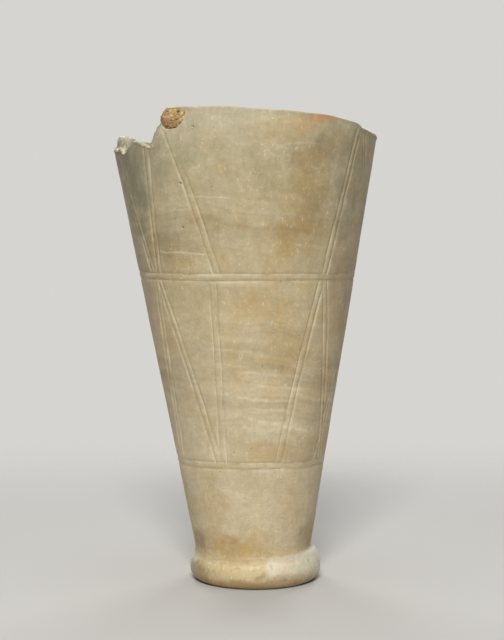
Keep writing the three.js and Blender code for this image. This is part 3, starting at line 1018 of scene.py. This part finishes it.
    def dotted(self, colour):
        """Pale flecks on the wall, pale chips on the foot that are partly painted glints, stains on the foot,
        and dark specks on both.
        """
        there = self.between(self.cloud + self.ragged, 1.0, 1.15) * 0.6
        flecks = self.cells(self.place, 4.8)
        colour = self.mixed(self.between(flecks, 0.13, 0.07) * there, colour, PALE_FLECK)
        # Pale chips on the foot: partly real chips, partly painted glints.
        there = self.between(self.grain(self.place, 7.0, 2.0, 0.5), 0.5, 0.6) * self.foot * 0.55
        chips_and_glints = self.cells(self.moved(7.0, 11.0, 3.0), 3.4)
        colour = self.mixed(self.between(chips_and_glints, 0.3, 0.12) * there, colour, PALE_CHIP_AND_GLINT)
        stains = self.between(self.grain(self.place, 4.2, 3.0, 0.6), 0.42, 0.34)
        colour = self.mixed(stains * self.foot * 0.4, colour, FOOT_STAIN)
        specks = self.cells(self.moved(31.0, 17.0, 5.0), 8.5)
        return self.mixed(self.between(specks, 0.055, 0.03) * 0.7, colour, DARK_SPECK)

    def colour(self):
        layers = [(height / LAYERS_TOP, paint(*tint)) for height, tint in STONE_LAYERS]
        colour = self.ramp((self.height + (self.cloud - 0.5) * 22.0) * (1.0 / LAYERS_TOP), layers)
        colour = self.footed(colour)
        for patch in PATCHES:
            colour = self.patch(colour, *patch)
        for tint, veins in ((PALE_VEIN, PALE_VEINS), (RUSTY_VEIN, RUSTY_VEINS)):
            for vein in veins:
                colour = self.vein(colour, tint, *vein)
        colour = self.scaled(self.clouded(colour), self.shade())
        return self.dotted(self.broken(self.marked(self.scuffed(colour))))

    def relief(self):
        """The fine relief that is too small for the mesh, and its pores."""
        pores = self.grain(self.place, 0.9, 4.0, 0.7)
        x, y, z = self.parts(self.place)
        tool_marks = self.grain(self.joined(x * 0.05, y * 0.05, z), 0.8, 2.0)
        normal = self.bump(self.ragged, 0.35)
        normal = self.bump(tool_marks * self.between(self.cloud, 0.46, 0.6), 0.08, normal)
        return self.bump(pores, 0.09, normal), pores


def stone_finish():
    skin = StoneSkin()
    normal, pores = skin.relief()
    above_foot = skin.between(skin.height, FOOT_HEIGHT - 3.0, FOOT_HEIGHT + 3.0)
    skin.surface({
        "Base Color": skin.colour(), "Normal": normal, "Roughness": pores * 0.24 + above_foot * 0.12 + 0.3,
        "Specular IOR Level": 0.3, "Subsurface Weight": 0.10, "Subsurface Radius": (1.0, 0.8, 0.5),
        "Subsurface Scale": 3.0 * MM,
    })
    return skin


# The crust's grains as (share, colour)
CRUST_GRAINS = [
    (0.3, (116, 86, 54)), (0.42, (164, 132, 90)), (0.54, (194, 162, 112)), (0.68, (232, 206, 158)),
]
CRUST_SHADE = paint(146, 104, 74)
CRUST_HOLLOW = paint(96, 68, 42)


def crust_finish():
    finish = Finish(bpy.data.materials.new("ochre_crust"))
    place = finish.own_place()
    x, _, z = finish.parts(place)
    lumps = finish.grain(place, 2.6, 5.0, 0.7)
    colour = finish.ramp(lumps, [(share, paint(*tint)) for share, tint in CRUST_GRAINS])
    low_left = finish.between(z + x * 0.7, 272.0, 263.0) * finish.between(finish.grain(place, 4.0), 0.35, 0.6)
    colour = finish.mixed(low_left * 0.6, colour, CRUST_SHADE)
    colour = finish.mixed(finish.measured("hollow") * 0.7, colour, CRUST_HOLLOW)
    normal = finish.bump(finish.cells(place, 0.8), 0.22)
    normal = finish.bump(finish.grain(place, 0.7, 3.0, 0.7), 0.2, normal)
    finish.surface({"Base Color": colour, "Roughness": 0.92, "Normal": normal, "Specular IOR Level": 0.25})
    return finish


# The stage

HORIZON_LIFT = 5.0  # pixels from the middle of the picture up to the horizon
PICTURE_TALL = 640.0
LENS_PIXELS = 1187.0
CAMERA_PLACE = Vector((-2.4, -822.1, 181.5))
SENSOR_WIDTH = 36.0

BACKDROP_COLOUR = paint(214, 212, 208)
ROOM_COLOUR = (1.0, 0.98, 0.95, 1.0)
ROOM_LIGHT = 0.05
FLOOR_COLOUR = paint(195, 193, 189)
FLOOR_RADIUS = 3.0  # metres
FLOOR_CLEAR = 1000.0  # mm from the jar where the floor has faded into the backdrop
FLOOR_SOLID = 220.0

# Lamps as (name, azimuth, elevation, distance and size in metres, power)
LAMPS = [
    ("key", -3.0, 34.0, 2.0, 0.5, 40.0),
    ("back_left", -158.0, 32.0, 2.0, 0.8, 13.0),
    ("back_right", 158.0, 32.0, 2.0, 0.8, 13.0),
    ("top", 0.0, 88.0, 1.8, 0.8, 6.0),
]


def make_camera():
    data = bpy.data.cameras.new("camera")
    data.sensor_width = SENSOR_WIDTH
    data.lens = data.sensor_width * LENS_PIXELS / PICTURE_TALL
    camera = placed("camera", data)
    camera.location = CAMERA_PLACE * MM
    camera.rotation_euler = (math.pi / 2 - math.atan(HORIZON_LIFT / LENS_PIXELS), 0.0, 0.0)
    bpy.context.scene.camera = camera


def make_lamp(name, azimuth, elevation, distance, size, power):
    """A square soft lamp that looks at the middle of the jar."""
    data = bpy.data.lights.new(name, "AREA")
    data.shape = "SQUARE"
    data.size = size
    data.energy = power
    lamp = placed(name, data)
    turn, tip = math.radians(azimuth), math.radians(elevation)
    away = Vector((math.sin(turn) * math.cos(tip), -math.cos(turn) * math.cos(tip), math.sin(tip)))
    lamp.location = away * distance + Vector((0.0, 0.0, JAR_HEIGHT / 2 * MM))
    lamp.rotation_euler = away.to_track_quat("Z", "Y").to_euler()
    lamp.visible_camera = False


def make_world():
    world = bpy.data.worlds.new("pale_room")
    bpy.context.scene.world = world
    finish = Finish(world)
    rays = ("Is Camera Ray", "Is Glossy Ray", "Is Transmission Ray")
    camera, glossy, transmission = [finish.node("ShaderNodeLightPath", output=ray) for ray in rays]
    room = finish.node("ShaderNodeBackground", values={"Color": ROOM_COLOUR, "Strength": ROOM_LIGHT})
    backdrop = finish.node("ShaderNodeBackground", values={"Color": BACKDROP_COLOUR})
    share = finish.math("MAXIMUM", finish.math("MAXIMUM", camera, glossy), transmission)
    mixed = finish.node("ShaderNodeMixShader", values={0: share, 1: room, 2: backdrop})
    finish.fill(finish.tree.nodes["World Output"], {"Surface": mixed})


def make_floor():
    disc = bmesh.new()
    bmesh.ops.create_circle(disc, cap_ends=True, segments=96, radius=FLOOR_RADIUS)
    mesh = bpy.data.meshes.new("floor")
    disc.to_mesh(mesh)
    disc.free()
    floor = placed("floor", mesh)
    finish = Finish(bpy.data.materials.new("pale_floor"))
    far = finish.vector("LENGTH", finish.own_place(), (0.0, 0.0, 0.0), output="Value")
    alpha = finish.between(far, FLOOR_CLEAR, FLOOR_SOLID)
    finish.surface({"Base Color": FLOOR_COLOUR, "Roughness": 0.9, "Specular IOR Level": 0.1, "Alpha": alpha})
    mesh.materials.append(finish.owner)


def main():
    bpy.context.scene.view_settings.view_transform = "Standard"
    make_camera()
    make_world()
    make_floor()
    for lamp in LAMPS:
        make_lamp(*lamp)
    make_jar()
    make_crust()


main()
